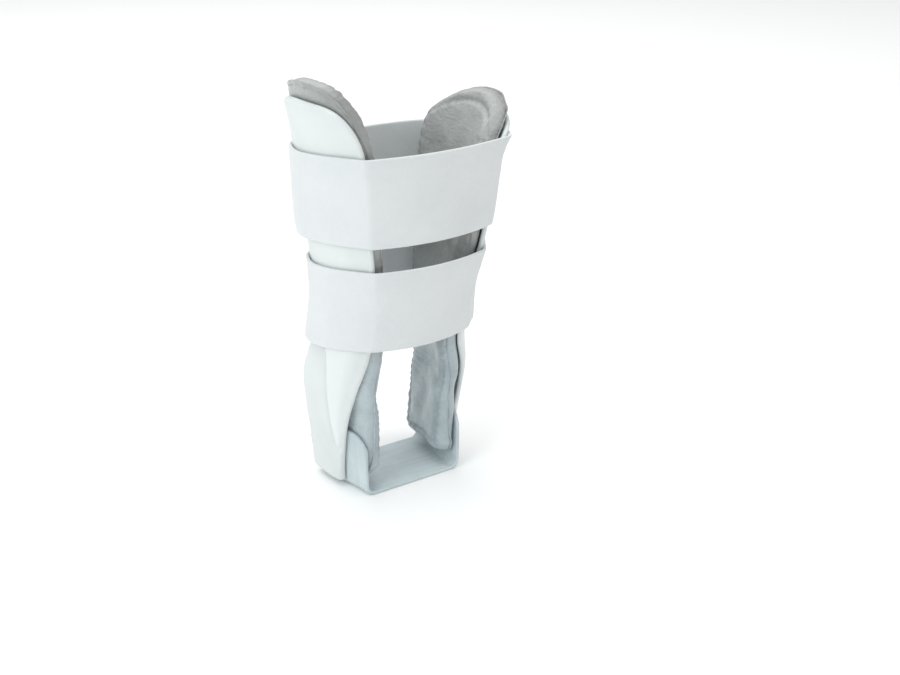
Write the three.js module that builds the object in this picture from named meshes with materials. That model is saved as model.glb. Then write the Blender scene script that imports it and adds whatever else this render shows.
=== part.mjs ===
// A stirrup ankle brace for the right side, closed as it is worn: two rigid side shells with a
// padded liner inside each, two wide hook-and-loop straps round them and a heel strap that joins
// them below.
//
// Millimetres. +Z is up, the front is at -Y, the outer (lateral) side is at -X and the inner
// (medial) side at +X. The origin is under the middle of the heel strap, on the surface that the
// brace stands on.

import * as THREE from 'three';

// Shells
const SHELL_TOP = 233; // top of the arch above the floor
const SHELL_FOOT = 3; // lower edge above the floor
const SHELL_WALL = 2.4;
const SHELL_DEPTH = 70; // front to back under the upper strap
const HALF_WIDTH = 54; // middle of the brace to a shell's widest place under the upper strap
const EDGE_TURN = 12; // how far the front and rear edges turn in
const TOP_FRONT_DROP = 28; // the rounded top falls this far to its front corner
const TOP_REAR_DROP = 8; // and this far to its rear corner
const TOP_SQUARENESS = 5; // how square the front of the round is, as a power
const FOOT_CORNER = 3; // rise of the rounded lower corners
const TOP_FLARE = 6; // how far the top opens outwards
const FLARE_DEPTH = 36; // height over which it opens
const MEDIAL_DROP = 18; // the medial shell and liner are this much lower at the top
const MEDIAL_SQUARENESS = 2.2; // and their tops rounder
const MEDIAL_FLARE = 10; // how much further the medial side opens at its top
const MEDIAL_FLARE_DEPTH = 30; // height over which it does
const PANEL_RAISE = 1.5; // moulded panel above the wall round it
const PANEL_SLOPE = 3.5; // width of the panel's sloping side

// Liners
const LINER_THICKNESS = 12;
const LINER_EDGE = 9; // thickness along its front and rear edges
const LINER_END = 3; // thickness along its top and its foot
const LINER_BORDER = 7; // from an edge to full thickness
const LINER_RISE = 8; // its top above the shell's top
const LINER_FRONT_DROP = 42;
const LINER_REAR_DROP = 14;
const LINER_SQUARENESS = 4;
const LINER_CORNER = 10;

// Side straps
const STRAP_WIDTH = 50;
const STRAP_THICKNESS = 2;
const UPPER_STRAP_DROP = 26; // from the top of the shell down to the upper strap
const STRAP_SPACING = 14; // between the two straps
const FRONT_BOW = 7; // middle of a strap's front ahead of its corners
const REAR_BOW = 10; // middle of a strap's back behind the shells' rear edges
const REAR_DIP = 6; // a strap's back below its front
const UPPER_LOOSENESS = 3; // the upper strap's lower edge off the shells' rear edges
const CORNER_REACH = 1; // straight run past a shell's front edge before the strap turns
const FREE_END = 36; // length of the strap's end that lies on its own start
const STRAP_START = 0.6; // its start on the medial shell, as a share of the way to the front edge

// Heel strap
const HEEL_STRAP_WIDTH = 48;
const HEEL_STRAP_THICKNESS = 2;
const HEEL_STRAP_RISE = 39; // its ends above the floor
const HEEL_BEND = 5; // radius at which it turns flat

const CLEARANCE = 0.5; // between pieces that lie on each other

// The shell's section at heights from the floor up, and the liner's edges beside it. height is a
// share of SHELL_TOP. front, rear, linerFront and linerRear are places along Y as shares of
// SHELL_DEPTH. out is a share of HALF_WIDTH. turnFront and turnRear are shares of EDGE_TURN.
const SECTIONS = [
  { height: 0, front: -0.07, rear: 0.36, out: 0.69,
    turnFront: 0.1, turnRear: 0.05, linerFront: -0.3, linerRear: 0.34 },
  { height: 0.08, front: -0.11, rear: 0.36, out: 0.735,
    turnFront: 0.18, turnRear: 0.12, linerFront: -0.32, linerRear: 0.35 },
  { height: 0.19, front: -0.2, rear: 0.38, out: 0.81,
    turnFront: 0.42, turnRear: 0.24, linerFront: -0.36, linerRear: 0.38 },
  { height: 0.28, front: -0.29, rear: 0.39, out: 0.84,
    turnFront: 0.75, turnRear: 0.32, linerFront: -0.385, linerRear: 0.4 },
  { height: 0.37, front: -0.355, rear: 0.345, out: 0.79,
    turnFront: 1, turnRear: 0.46, linerFront: -0.41, linerRear: 0.36 },
  { height: 0.5, front: -0.46, rear: 0.31, out: 0.81,
    turnFront: 1.1, turnRear: 0.58, linerFront: -0.49, linerRear: 0.33 },
  { height: 0.62, front: -0.55, rear: 0.305, out: 0.86,
    turnFront: 0.95, turnRear: 0.62, linerFront: -0.575, linerRear: 0.33 },
  { height: 0.7, front: -0.58, rear: 0.335, out: 0.89,
    turnFront: 0.82, turnRear: 0.55, linerFront: -0.605, linerRear: 0.355 },
  { height: 0.8, front: -0.605, rear: 0.355, out: 0.935,
    turnFront: 0.84, turnRear: 0.6, linerFront: -0.63, linerRear: 0.37 },
  { height: 0.9, front: -0.625, rear: 0.355, out: 0.985,
    turnFront: 0.84, turnRear: 0.65, linerFront: -0.64, linerRear: 0.37 },
  { height: 1.04, front: -0.65, rear: 0.335, out: 1.01,
    turnFront: 0.6, turnRear: 0.7, linerFront: -0.65, linerRear: 0.355 },
];

// The moulded panel on the lower part of a shell, from its point up to where it ends under the
// lower strap. height is a share of SHELL_TOP. rear and front are places across the section, from
// -1 at the shell's rear edge to 1 at its front edge.
const PANEL = [
  { height: 0.115, rear: 0.82, front: 0.93 },
  { height: 0.14, rear: 0.64, front: 0.93 },
  { height: 0.18, rear: 0.5, front: 0.93 },
  { height: 0.225, rear: 0.39, front: 0.93 },
  { height: 0.275, rear: 0.33, front: 0.93 },
  { height: 0.33, rear: 0.34, front: 0.93 },
  { height: 0.4, rear: 0.4, front: 0.93 },
  { height: 0.5, rear: 0.42, front: 0.93 },
];

const TURN_POWER = 2.2; // how the turn grows towards an edge
const TURN_EASE = 1.2; // how soon it straightens past the edge, where only soft pieces go

// Counts of flat cells
const SHELL_CELLS = { behindPanel: 9, onPanel: 4, aheadOfPanel: 1, up: 30 };
const LINER_CELLS = { across: 12, up: 30 };
const STRAP_CELLS = { side: 12, front: 12, rear: 16, up: 6 };
const HEEL_CELLS = { across: 8, upright: 5, bend: 3, sole: 4 };

const WHITE_SHELL = { color: '#eef3f3', roughness: 0.42, metalness: 0 };
const WHITE_STRAP = { color: '#e6eaeb', roughness: 0.9, metalness: 0 };
const GREY_LINER = { color: '#9fa9af', roughness: 0.4, metalness: 0 };
const PALE_WEB = { color: '#bccbd3', roughness: 0.85, metalness: 0 };

const clamp01 = (value) => Math.min(1, Math.max(0, value));
const mix = (a, b, share) => a + (b - a) * share;

/** 0 below a, 1 above b and a smooth rise between. */
function smoothRise(a, b, value) {
  const share = clamp01((value - a) / (b - a));
  return share * share * (3 - 2 * share);
}

/** A column of a table at a height share, by a cubic through its rows. */
function column(table, name, height) {
  const last = table.length - 1;
  const clamped = Math.min(table[last].height, Math.max(table[0].height, height));
  let row = 0;
  while (row < last - 1 && table[row + 1].height < clamped) row += 1;
  const slope = (i) => {
    const below = table[Math.max(0, i - 1)];
    const above = table[Math.min(last, i + 1)];
    return (above[name] - below[name]) / (above.height - below.height);
  };
  const low = table[row];
  const high = table[row + 1];
  const span = high.height - low.height;
  const t = (clamped - low.height) / span;
  return (
    (2 * t ** 3 - 3 * t ** 2 + 1) * low[name] +
    (t ** 3 - 2 * t ** 2 + t) * span * slope(row) +
    (3 * t ** 2 - 2 * t ** 3) * high[name] +
    (t ** 3 - t ** 2) * span * slope(row + 1)
  );
}

/** Middle and half length, along Y, of the shell's section at height z. */
function sectionSpan(z) {
  const front = column(SECTIONS, 'front', z / SHELL_TOP) * SHELL_DEPTH;
  const rear = column(SECTIONS, 'rear', z / SHELL_TOP) * SHELL_DEPTH;
  return { middle: (front + rear) / 2, half: (rear - front) / 2 };
}

/** A point in the middle of the lateral shell's wall. u is -1 at the rear edge and 1 at the
 * front edge; past the edges the section straightens. */
function midWall(u, z) {
  const height = z / SHELL_TOP;
  const { middle, half } = sectionSpan(z);
  const reach = Math.abs(u);
  const beyond = (1 - Math.exp(-TURN_EASE * (reach - 1))) / TURN_EASE;
  const turn = reach <= 1 ? reach ** TURN_POWER : 1 + TURN_POWER * beyond;
  const edge = column(SECTIONS, u > 0 ? 'turnFront' : 'turnRear', height) * EDGE_TURN;
  const flare = TOP_FLARE * Math.max(0, 1 + (z - SHELL_TOP) / FLARE_DEPTH) ** 2;
  const out = column(SECTIONS, 'out', height) * HALF_WIDTH + flare;
  return new THREE.Vector3(edge * turn - out, middle - half * u, z);
}

/** Outward unit normal of the wall. */
function wallNormal(u, z) {
  const step = 0.01;
  const across = midWall(u + step, z).sub(midWall(u - step, z));
  const up = midWall(u, z + SHELL_TOP * step).sub(midWall(u, z - SHELL_TOP * step));
  return across.cross(up).normalize();
}

/** The point at u and z moved outwards along the wall's normal. */
function offWall(u, z, distance) {
  return midWall(u, z).addScaledVector(wallNormal(u, z), distance);
}

/** The panel's edges at height z, as places across the section, with the width of its slope. */
function panelEdges(z) {
  const rear = column(PANEL, 'rear', z / SHELL_TOP);
  const front = column(PANEL, 'front', z / SHELL_TOP);
  const slope = Math.min(PANEL_SLOPE / sectionSpan(z).half, (front - rear) * 0.45);
  return { rear, front, slope };
}

/** Height of the panel's flat top above the wall at height z. */
function panelHeight(z) {
  const first = PANEL[0].height * SHELL_TOP;
  const last = PANEL[PANEL.length - 1].height * SHELL_TOP;
  const start = smoothRise(first, first + PANEL_SLOPE, z);
  return PANEL_RAISE * start * (1 - smoothRise(mix(last, first, 0.3), last, z));
}

/** Height of the panel above the wall at a place across the section. */
function panelRelief(u, z) {
  const { rear, front, slope } = panelEdges(z);
  return panelHeight(z) * clamp01(Math.min(u - rear, front - u) / slope);
}

/** Places across the shell at height z, with one on each crease of the panel. */
function shellPlaces(z) {
  const { rear, front, slope } = panelEdges(z);
  const { behindPanel, onPanel, aheadOfPanel } = SHELL_CELLS;
  const stretch = (from, to, count) =>
    Array.from({ length: count }, (_, i) => mix(from, to, i / count));
  return [
    ...stretch(-1, rear, behindPanel),
    rear,
    ...stretch(rear + slope, front - slope, onPanel),
    front - slope,
    ...stretch(front, 1, aheadOfPanel),
    1,
  ];
}

/** Shares from 0 to 1, closer together near both ends. */
function shares(count) {
  return Array.from({ length: count + 1 }, (_, i) => {
    const even = i / count;
    return mix(even, (1 - Math.cos(even * Math.PI)) / 2, 0.55);
  });
}

/** Volume inside a triangle list, negative if its faces point inwards. */
function signedVolume(positions, index) {
  const corner = (i) => new THREE.Vector3().fromArray(positions, 3 * index[i]);
  let sum = 0;
  for (let i = 0; i < index.length; i += 3) {
    sum += corner(i).dot(corner(i + 1).cross(corner(i + 2))) / 6;
  }
  return sum;
}

/** A closed body between two grids of points that have the same rows and columns. */
function slab(outer, inner) {
  const rows = outer.length;
  const columns = outer[0].length;
  const positions = [...outer.flat(), ...inner.flat()].flatMap((p) => [p.x, p.y, p.z]);
  const at = (layer, row, col) => layer * rows * columns + row * columns + col;
  const index = [];
  const quad = (a, b, c, d) => index.push(a, b, c, a, c, d);
  for (let r = 0; r < rows - 1; r += 1) {
    for (let c = 0; c < columns - 1; c += 1) {
      quad(at(0, r, c), at(0, r, c + 1), at(0, r + 1, c + 1), at(0, r + 1, c));
      quad(at(1, r, c), at(1, r + 1, c), at(1, r + 1, c + 1), at(1, r, c + 1));
    }
  }
  const top = rows - 1;
  for (let c = 0; c < columns - 1; c += 1) {
    quad(at(1, 0, c), at(1, 0, c + 1), at(0, 0, c + 1), at(0, 0, c));
    quad(at(0, top, c), at(0, top, c + 1), at(1, top, c + 1), at(1, top, c));
  }
  const side = columns - 1;
  for (let r = 0; r < rows - 1; r += 1) {
    quad(at(0, r, 0), at(0, r + 1, 0), at(1, r + 1, 0), at(1, r, 0));
    quad(at(1, r, side), at(1, r + 1, side), at(0, r + 1, side), at(0, r, side));
  }
  if (signedVolume(positions, index) < 0) index.reverse();
  const geometry = new THREE.BufferGeometry();
  geometry.setAttribute('position', new THREE.BufferAttribute(new Float32Array(positions), 3));
  geometry.setIndex(index);
  geometry.computeVertexNormals();
  return geometry;
}

/** A grid of points on the other side of the brace. */
function mirrored(grid) {
  return grid.map((row) => row.map((p) => new THREE.Vector3(-p.x, p.y, p.z)));
}

/** Height on a rounded outline, v of the way up: small corners below, and a top that falls in a
 * round to its front and rear corners. */
function outlineHeight(u, v, { foot, corner, top, frontDrop, rearDrop, squareness }) {
  const reach = Math.min(1, Math.abs(u));
  const low = foot + corner * (1 - Math.sqrt(1 - reach ** 6));
  const front = frontDrop * (1 - Math.sqrt(1 - reach ** squareness));
  const rear = rearDrop * reach ** 2.5;
  return mix(low, top - (u > 0 ? front : rear), v);
}

/** The shell's outline with its top lowered by drop and a front as square as given. */
function shellOutline(drop, squareness) {
  return {
    foot: SHELL_FOOT,
    corner: FOOT_CORNER,
    top: SHELL_TOP - drop,
    frontDrop: TOP_FRONT_DROP - drop,
    rearDrop: TOP_REAR_DROP,
    squareness,
  };
}

/** The liner's outline with its top lowered by drop and a front as square as given. */
function linerOutline(drop, squareness) {
  return {
    foot: HEEL_STRAP_THICKNESS + HEEL_BEND + CLEARANCE,
    corner: LINER_CORNER,
    top: SHELL_TOP + LINER_RISE - drop,
    frontDrop: LINER_FRONT_DROP - drop,
    rearDrop: LINER_REAR_DROP,
    squareness,
  };
}

/** Outer and inner faces of a shell, on the lateral side. */
function shellFaces(outline) {
  const straight = (v) => mix(outline.foot, outline.top, v);
  const face = (distance) =>
    shares(SHELL_CELLS.up).map((v) =>
      shellPlaces(straight(v)).map((u) => {
        const z = outlineHeight(u, v, outline);
        return offWall(u, z, distance(u, z));
      }),
    );
  return {
    outer: face((u, z) => SHELL_WALL / 2 + panelRelief(u, z)),
    inner: face(() => -SHELL_WALL / 2),
  };
}

/** How far the liner's back lies inside the middle of the wall: on the shell or the heel strap. */
function linerBack(z) {
  const strapEnd = HEEL_STRAP_RISE + LINER_THICKNESS;
  const onStrap = 1 - smoothRise(strapEnd, strapEnd + LINER_THICKNESS, z);
  return SHELL_WALL / 2 + CLEARANCE + onStrap * (HEEL_STRAP_THICKNESS + CLEARANCE);
}

/** Back and front of a liner, on the lateral side: a pad with rounded edges. */
function linerFaces(outline) {
  const length = outline.top - outline.foot;
  const crown = (distance) => Math.sqrt(1 - (1 - clamp01(distance / LINER_BORDER)) ** 2);
  const place = (s, v, layer) => {
    const z = outlineHeight(s, v, outline);
    const front = column(SECTIONS, 'linerFront', z / SHELL_TOP) * SHELL_DEPTH;
    const rear = column(SECTIONS, 'linerRear', z / SHELL_TOP) * SHELL_DEPTH;
    const { middle, half } = sectionSpan(z);
    const y = mix(rear, front, (s + 1) / 2);
    const fromSide = ((1 - Math.abs(s)) * (rear - front)) / 2;
    const fromEnd = Math.min(v, 1 - v) * length;
    const beside = mix(LINER_EDGE, LINER_THICKNESS, crown(fromSide));
    const thickness = mix(LINER_END, beside, crown(fromEnd));
    return offWall((middle - y) / half, z, -linerBack(z) - layer * thickness);
  };
  const face = (layer) =>
    shares(LINER_CELLS.up).map((v) =>
      shares(LINER_CELLS.across).map((s) => place(2 * s - 1, v, layer)),
    );
  return { outer: face(0), inner: face(1) };
}

/** Points at even distances along a line of points. */
function evenly(points, count) {
  const reached = [0];
  points.slice(1).forEach((p, i) => reached.push(reached[i] + p.distanceTo(points[i])));
  return Array.from({ length: count + 1 }, (_, i) => {
    const goal = (reached[reached.length - 1] * i) / count;
    let k = 1;
    while (k < points.length - 1 && reached[k] < goal) k += 1;
    const share = (goal - reached[k - 1]) / (reached[k] - reached[k - 1]);
    return points[k - 1].clone().lerp(points[k], share);
  });
}

/** The back of a strap from the medial rear edge round to the lateral one: two halves of a
 * parabola that leave the shells' rear edges along the shells and meet level in the middle. */
function rearArc(edge, beside) {
  const away = edge.clone().sub(beside).setZ(0).normalize();
  const middle = new THREE.Vector3(0, edge.y + REAR_BOW, edge.z);
  const turn = edge.clone().addScaledVector(away, REAR_BOW / away.y);
  const fine = 8 * STRAP_CELLS.rear;
  const lateral = Array.from({ length: fine + 1 }, (_, i) => {
    const towards = edge.clone().lerp(turn, i / fine);
    return towards.lerp(turn.clone().lerp(middle, i / fine), i / fine);
  });
  const medial = mirrored([lateral])[0];
  return evenly([...medial, ...lateral.reverse().slice(1)], STRAP_CELLS.rear);
}

/** The middle of a strap's cloth as a closed loop, anticlockwise from above: the back, the
 * lateral side, the front and the medial side. It is at height z in front and dips to the rear,
 * where it stands off the shells by the looseness. */
function strapLoop(z, looseness) {
  const side = shares(STRAP_CELLS.side).map((share) => {
    const u = 2 * share - 1;
    const height = z - REAR_DIP * (1 - smoothRise(-1, 1, u));
    const loose = looseness * (1 - smoothRise(-1, 0, u));
    const distance = SHELL_WALL / 2 + panelHeight(height) + CLEARANCE + STRAP_THICKNESS / 2 + loose;
    const normal = wallNormal(u, height);
    const level = Math.hypot(normal.x, normal.y);
    return midWall(u, height).addScaledVector(normal.setZ(0), distance / level ** 2);
  });
  const edge = side[side.length - 1];
  const ahead = edge.clone().sub(side[side.length - 2]).normalize();
  const corner = edge.clone().addScaledVector(ahead, CORNER_REACH);
  const lateral = [...side, corner];
  const medial = mirrored([lateral])[0].reverse();
  const front = Array.from({ length: STRAP_CELLS.front - 1 }, (_, i) => {
    const x = mix(corner.x, -corner.x, (i + 1) / STRAP_CELLS.front);
    return new THREE.Vector3(x, corner.y - FRONT_BOW * (1 - (x / corner.x) ** 2), z);
  });
  const back = rearArc(side[0], side[1]);
  return [...back.slice(0, -1), ...lateral, ...front, ...medial.slice(0, -1)];
}

/** Both faces of a strap whose lower edge is at height foot in front, and stands off the shells'
 * rear edges by the looseness. It starts on the medial shell, goes round the back, the lateral
 * shell and the front, and its end lies on its start. */
function strapFaces(foot, looseness) {
  const loops = Array.from({ length: STRAP_CELLS.up + 1 }, (_, r) => {
    const share = r / STRAP_CELLS.up;
    return strapLoop(foot + STRAP_WIDTH * share, looseness * (1 - share));
  });
  const middleLoop = loops[STRAP_CELLS.up / 2];
  const stations = middleLoop.length;
  const station = (loop, i) => loop[(i + stations) % stations];
  const start = -Math.round(STRAP_CELLS.side * STRAP_START);
  const over = stations + start;
  let end = over;
  for (let done = 0; done < FREE_END; end += 1) {
    done += station(middleLoop, end).distanceTo(station(middleLoop, end + 1));
  }
  const lift = (i) => (STRAP_THICKNESS + CLEARANCE) * smoothRise(over - 4, over - 1, i);
  const face = (side) =>
    loops.map((loop) =>
      Array.from({ length: end - start + 1 }, (_, k) => {
        const i = start + k;
        const along = station(loop, i + 1).clone().sub(station(loop, i - 1));
        const outward = new THREE.Vector3(along.y, -along.x, 0).normalize();
        const distance = lift(i) + (side * STRAP_THICKNESS) / 2;
        return station(loop, i).clone().addScaledVector(outward, distance);
      }),
    );
  return { outer: face(1), inner: face(-1) };
}

/** Both faces of the heel strap: up the inside of each shell, and flat between them. */
function heelStrapFaces() {
  const half = HEEL_STRAP_THICKNESS / 2;
  const turnHeight = half + HEEL_BEND;
  const inset = SHELL_WALL / 2 + CLEARANCE + half;
  const onWall = (y, z, distance) => {
    const { middle, half: halfLength } = sectionSpan(z);
    return offWall((middle - y) / halfLength, z, distance);
  };
  const steps = (count, pointAt) => Array.from({ length: count }, (_, i) => pointAt(i / count));
  const strip = (y, layer) => {
    const foot = onWall(y, turnHeight, -inset);
    const radius = HEEL_BEND + layer * half;
    const turned = (share) => {
      const angle = (share * Math.PI) / 2;
      const x = foot.x + HEEL_BEND - radius * Math.cos(angle);
      return new THREE.Vector3(x, foot.y, turnHeight - radius * Math.sin(angle));
    };
    const upright = (share) =>
      onWall(y, mix(HEEL_STRAP_RISE, turnHeight, share), layer * half - inset);
    const last = turned(1);
    const lateral = [...steps(HEEL_CELLS.upright, upright), ...steps(HEEL_CELLS.bend, turned)];
    const sole = steps(HEEL_CELLS.sole, (share) =>
      new THREE.Vector3(mix(last.x, -last.x, share), last.y, last.z));
    return [...lateral, ...sole, ...mirrored([[...lateral, last]])[0].reverse()];
  };
  const face = (layer) =>
    Array.from({ length: HEEL_CELLS.across + 1 }, (_, i) =>
      strip(HEEL_STRAP_WIDTH * (i / HEEL_CELLS.across - 0.5), layer));
  return { outer: face(1), inner: face(-1) };
}

/** Opens the medial side of a grid further outwards near its top. */
function openMedial(grid) {
  const end = SHELL_TOP - MEDIAL_DROP + LINER_RISE;
  return grid.map((row) => row.map((p) => {
    const rise = smoothRise(end - MEDIAL_FLARE_DEPTH, end, p.z);
    const widening = 1 + (MEDIAL_FLARE / HALF_WIDTH) * rise;
    return new THREE.Vector3(p.x > 0 ? p.x * widening : p.x, p.y, p.z);
  }));
}

/** A named mesh from two faces. */
function piece(name, { outer, inner }, finish) {
  const geometry = slab(openMedial(outer), openMedial(inner));
  const mesh = new THREE.Mesh(geometry, new THREE.MeshStandardMaterial(finish));
  mesh.name = name;
  return mesh;
}

/** The same piece on the medial side. */
function otherSide({ outer, inner }) {
  return { outer: mirrored(outer), inner: mirrored(inner) };
}

const upperFoot = SHELL_TOP - UPPER_STRAP_DROP - STRAP_WIDTH;
const lowerFoot = upperFoot - STRAP_SPACING - STRAP_WIDTH;
const lateralShell = shellFaces(shellOutline(0, TOP_SQUARENESS));
const lateralLiner = linerFaces(linerOutline(0, LINER_SQUARENESS));
const medialShell = otherSide(shellFaces(shellOutline(MEDIAL_DROP, MEDIAL_SQUARENESS)));
const medialLiner = otherSide(linerFaces(linerOutline(MEDIAL_DROP, MEDIAL_SQUARENESS)));

const brace = new THREE.Group();
brace.name = 'stirrup_ankle_brace';
brace.add(
  piece('lateral_shell', lateralShell, WHITE_SHELL),
  piece('medial_shell', medialShell, WHITE_SHELL),
  piece('lateral_liner', lateralLiner, GREY_LINER),
  piece('medial_liner', medialLiner, GREY_LINER),
  piece('upper_strap', strapFaces(upperFoot, UPPER_LOOSENESS), WHITE_STRAP),
  piece('lower_strap', strapFaces(lowerFoot, 0), WHITE_STRAP),
  piece('heel_strap', heelStrapFaces(), PALE_WEB),
);

export default brace;
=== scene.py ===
"""A stirrup ankle brace for the right side, closed as it is worn.

Two contoured plastic shells, each with a padded film-covered liner inside, are held by two wide
hook-and-loop straps and joined below by a woven heel strap. Sizes are in millimetres until a mesh
is made, which is in metres. +Z is up, the front is at -Y, the lateral side at -X.
"""

import logging
import math
from dataclasses import dataclass, field
from enum import Enum
import bpy
import numpy as np
from mathutils import Matrix, Vector


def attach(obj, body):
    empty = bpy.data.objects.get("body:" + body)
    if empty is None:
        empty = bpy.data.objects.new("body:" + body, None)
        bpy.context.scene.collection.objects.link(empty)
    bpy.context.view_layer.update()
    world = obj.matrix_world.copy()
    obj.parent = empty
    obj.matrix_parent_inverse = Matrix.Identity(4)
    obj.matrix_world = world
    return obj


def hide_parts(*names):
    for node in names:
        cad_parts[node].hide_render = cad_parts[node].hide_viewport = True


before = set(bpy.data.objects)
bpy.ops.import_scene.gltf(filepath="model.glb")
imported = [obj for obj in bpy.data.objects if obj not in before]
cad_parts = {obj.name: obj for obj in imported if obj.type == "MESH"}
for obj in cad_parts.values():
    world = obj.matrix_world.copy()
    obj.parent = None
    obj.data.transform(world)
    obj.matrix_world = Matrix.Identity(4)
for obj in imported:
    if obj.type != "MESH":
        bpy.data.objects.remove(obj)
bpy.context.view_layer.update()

LOG = logging.getLogger("ankle_brace")
METRE = 0.001
BODY = "root"
PANEL_SHARE = "panel_share"
CLOTH_MAP = "cloth"
MIX_COLOURS = (6, 7)
MIX_RESULT = 2

MIRROR = (-1.0, 1.0, 1.0)
END_STEPS = 6
RUMPLE_WAVES = 18
RUMPLE_SEED = 4

# The wrap straps: their width, how far the upper one's top edge lies below the shells' tops, the
# height between the two, and how far the upper one's foot stands off the rear edges.
STRAP_WIDTH = 50.0
STRAP_DROP = 26.0
STRAP_SPACING = 14.0
UPPER_LOOSENESS = 3.0

# The heel strap: its thickness, how high it goes up inside the shells and its inner bend.
HEEL_THICKNESS = 2.0
HEEL_RISE = 39.0
HEEL_BEND = 5.0

Grid = np.ndarray
Piece = bpy.types.Object
Material = bpy.types.Material
Socket = bpy.types.NodeSocket
Values = tuple[float, ...]
Tone = Values | Socket
Inputs = dict[str | int, object]


class Side(Enum):
    """The side of the brace a piece is on."""

    LATERAL = "lateral"
    MEDIAL = "medial"


def smooth_rise(low: float, high: float, value: Grid) -> Grid:
    """0 below low, 1 above high and 3t^2 - 2t^3 between them."""
    share = np.clip((value - low) / (high - low), 0.0, 1.0)
    return share * share * (3.0 - 2.0 * share)


def mix(a: Grid, b: Grid, share: Grid) -> Grid:
    """The value at a share of the way from a to b."""
    return a + (b - a) * share


def bell(value: Grid, middle: float, width: float) -> Grid:
    """exp(-((value - middle) / width)^2): 1 at the middle and nearly 0 two widths away."""
    return np.exp(-(((value - middle) / width) ** 2))


def rounding(distance: Grid, radius: float) -> Grid:
    """Height share of a round edge: the circle sqrt(1 - (1 - d/r)^2) up to the radius, then 1."""
    return np.sqrt(1.0 - (1.0 - np.clip(distance / radius, 0.0, 1.0)) ** 2)


def unit(vectors: Grid) -> Grid:
    """The vectors' directions, each 1 long."""
    return vectors / np.linalg.norm(vectors, axis=-1, keepdims=True)


def distances(line: Grid) -> Grid:
    """How far along a line each of its points lies."""
    steps = np.linalg.norm(np.diff(line, axis=0), axis=1)
    return np.concatenate([[0.0], np.cumsum(steps)])


def values_at(where: Grid, reached: Grid, values: Grid) -> Grid:
    """A line's values at distances along it, straight between its points."""
    return np.stack([np.interp(where, reached, column) for column in values.T], axis=-1)


def rumple(first: Grid, second: Grid, short: float, long: float) -> Grid:
    """Soft uneven waves over a sheet, with an even spread of 1.

    They are the sum of waves sin(2 pi (first cos a + second sin a) / length + phase) over the
    square root of half their number. Directions, phases and lengths are drawn with one seed.

    Args:
        first: Places one way over the sheet.
        second: Places the other way.
        short: Length of the shortest wave.
        long: Length of the longest wave.

    Returns:
        The height at every place.
    """
    draw = np.random.default_rng(RUMPLE_SEED)
    angle, phase = draw.uniform(0.0, 2.0 * math.pi, (2, RUMPLE_WAVES))
    number = 2.0 * math.pi / draw.uniform(short, long, RUMPLE_WAVES)
    one_way = np.multiply.outer(first, number * np.cos(angle))
    other_way = np.multiply.outer(second, number * np.sin(angle))
    return np.sin(one_way + other_way + phase).sum(axis=-1) / math.sqrt(RUMPLE_WAVES / 2.0)


def graded(count: int, edge: float) -> Grid:
    """Shares from 0 to 1 that crowd into both ends, so that a round edge keeps its form.

    Inside an end of length edge they are edge * (1 - cos a) for even angles a; between the ends
    they are even.

    Args:
        count: Steps between the two ends.
        edge: Length of an end, as a share.

    Returns:
        The shares, rising.
    """
    end = edge * (1.0 - np.cos(np.linspace(0.0, math.pi / 2, END_STEPS + 1)))
    middle = np.linspace(edge, 1.0 - edge, count + 1)
    return np.concatenate([end[:-1], middle, (1.0 - end[::-1])[1:]])


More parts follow.
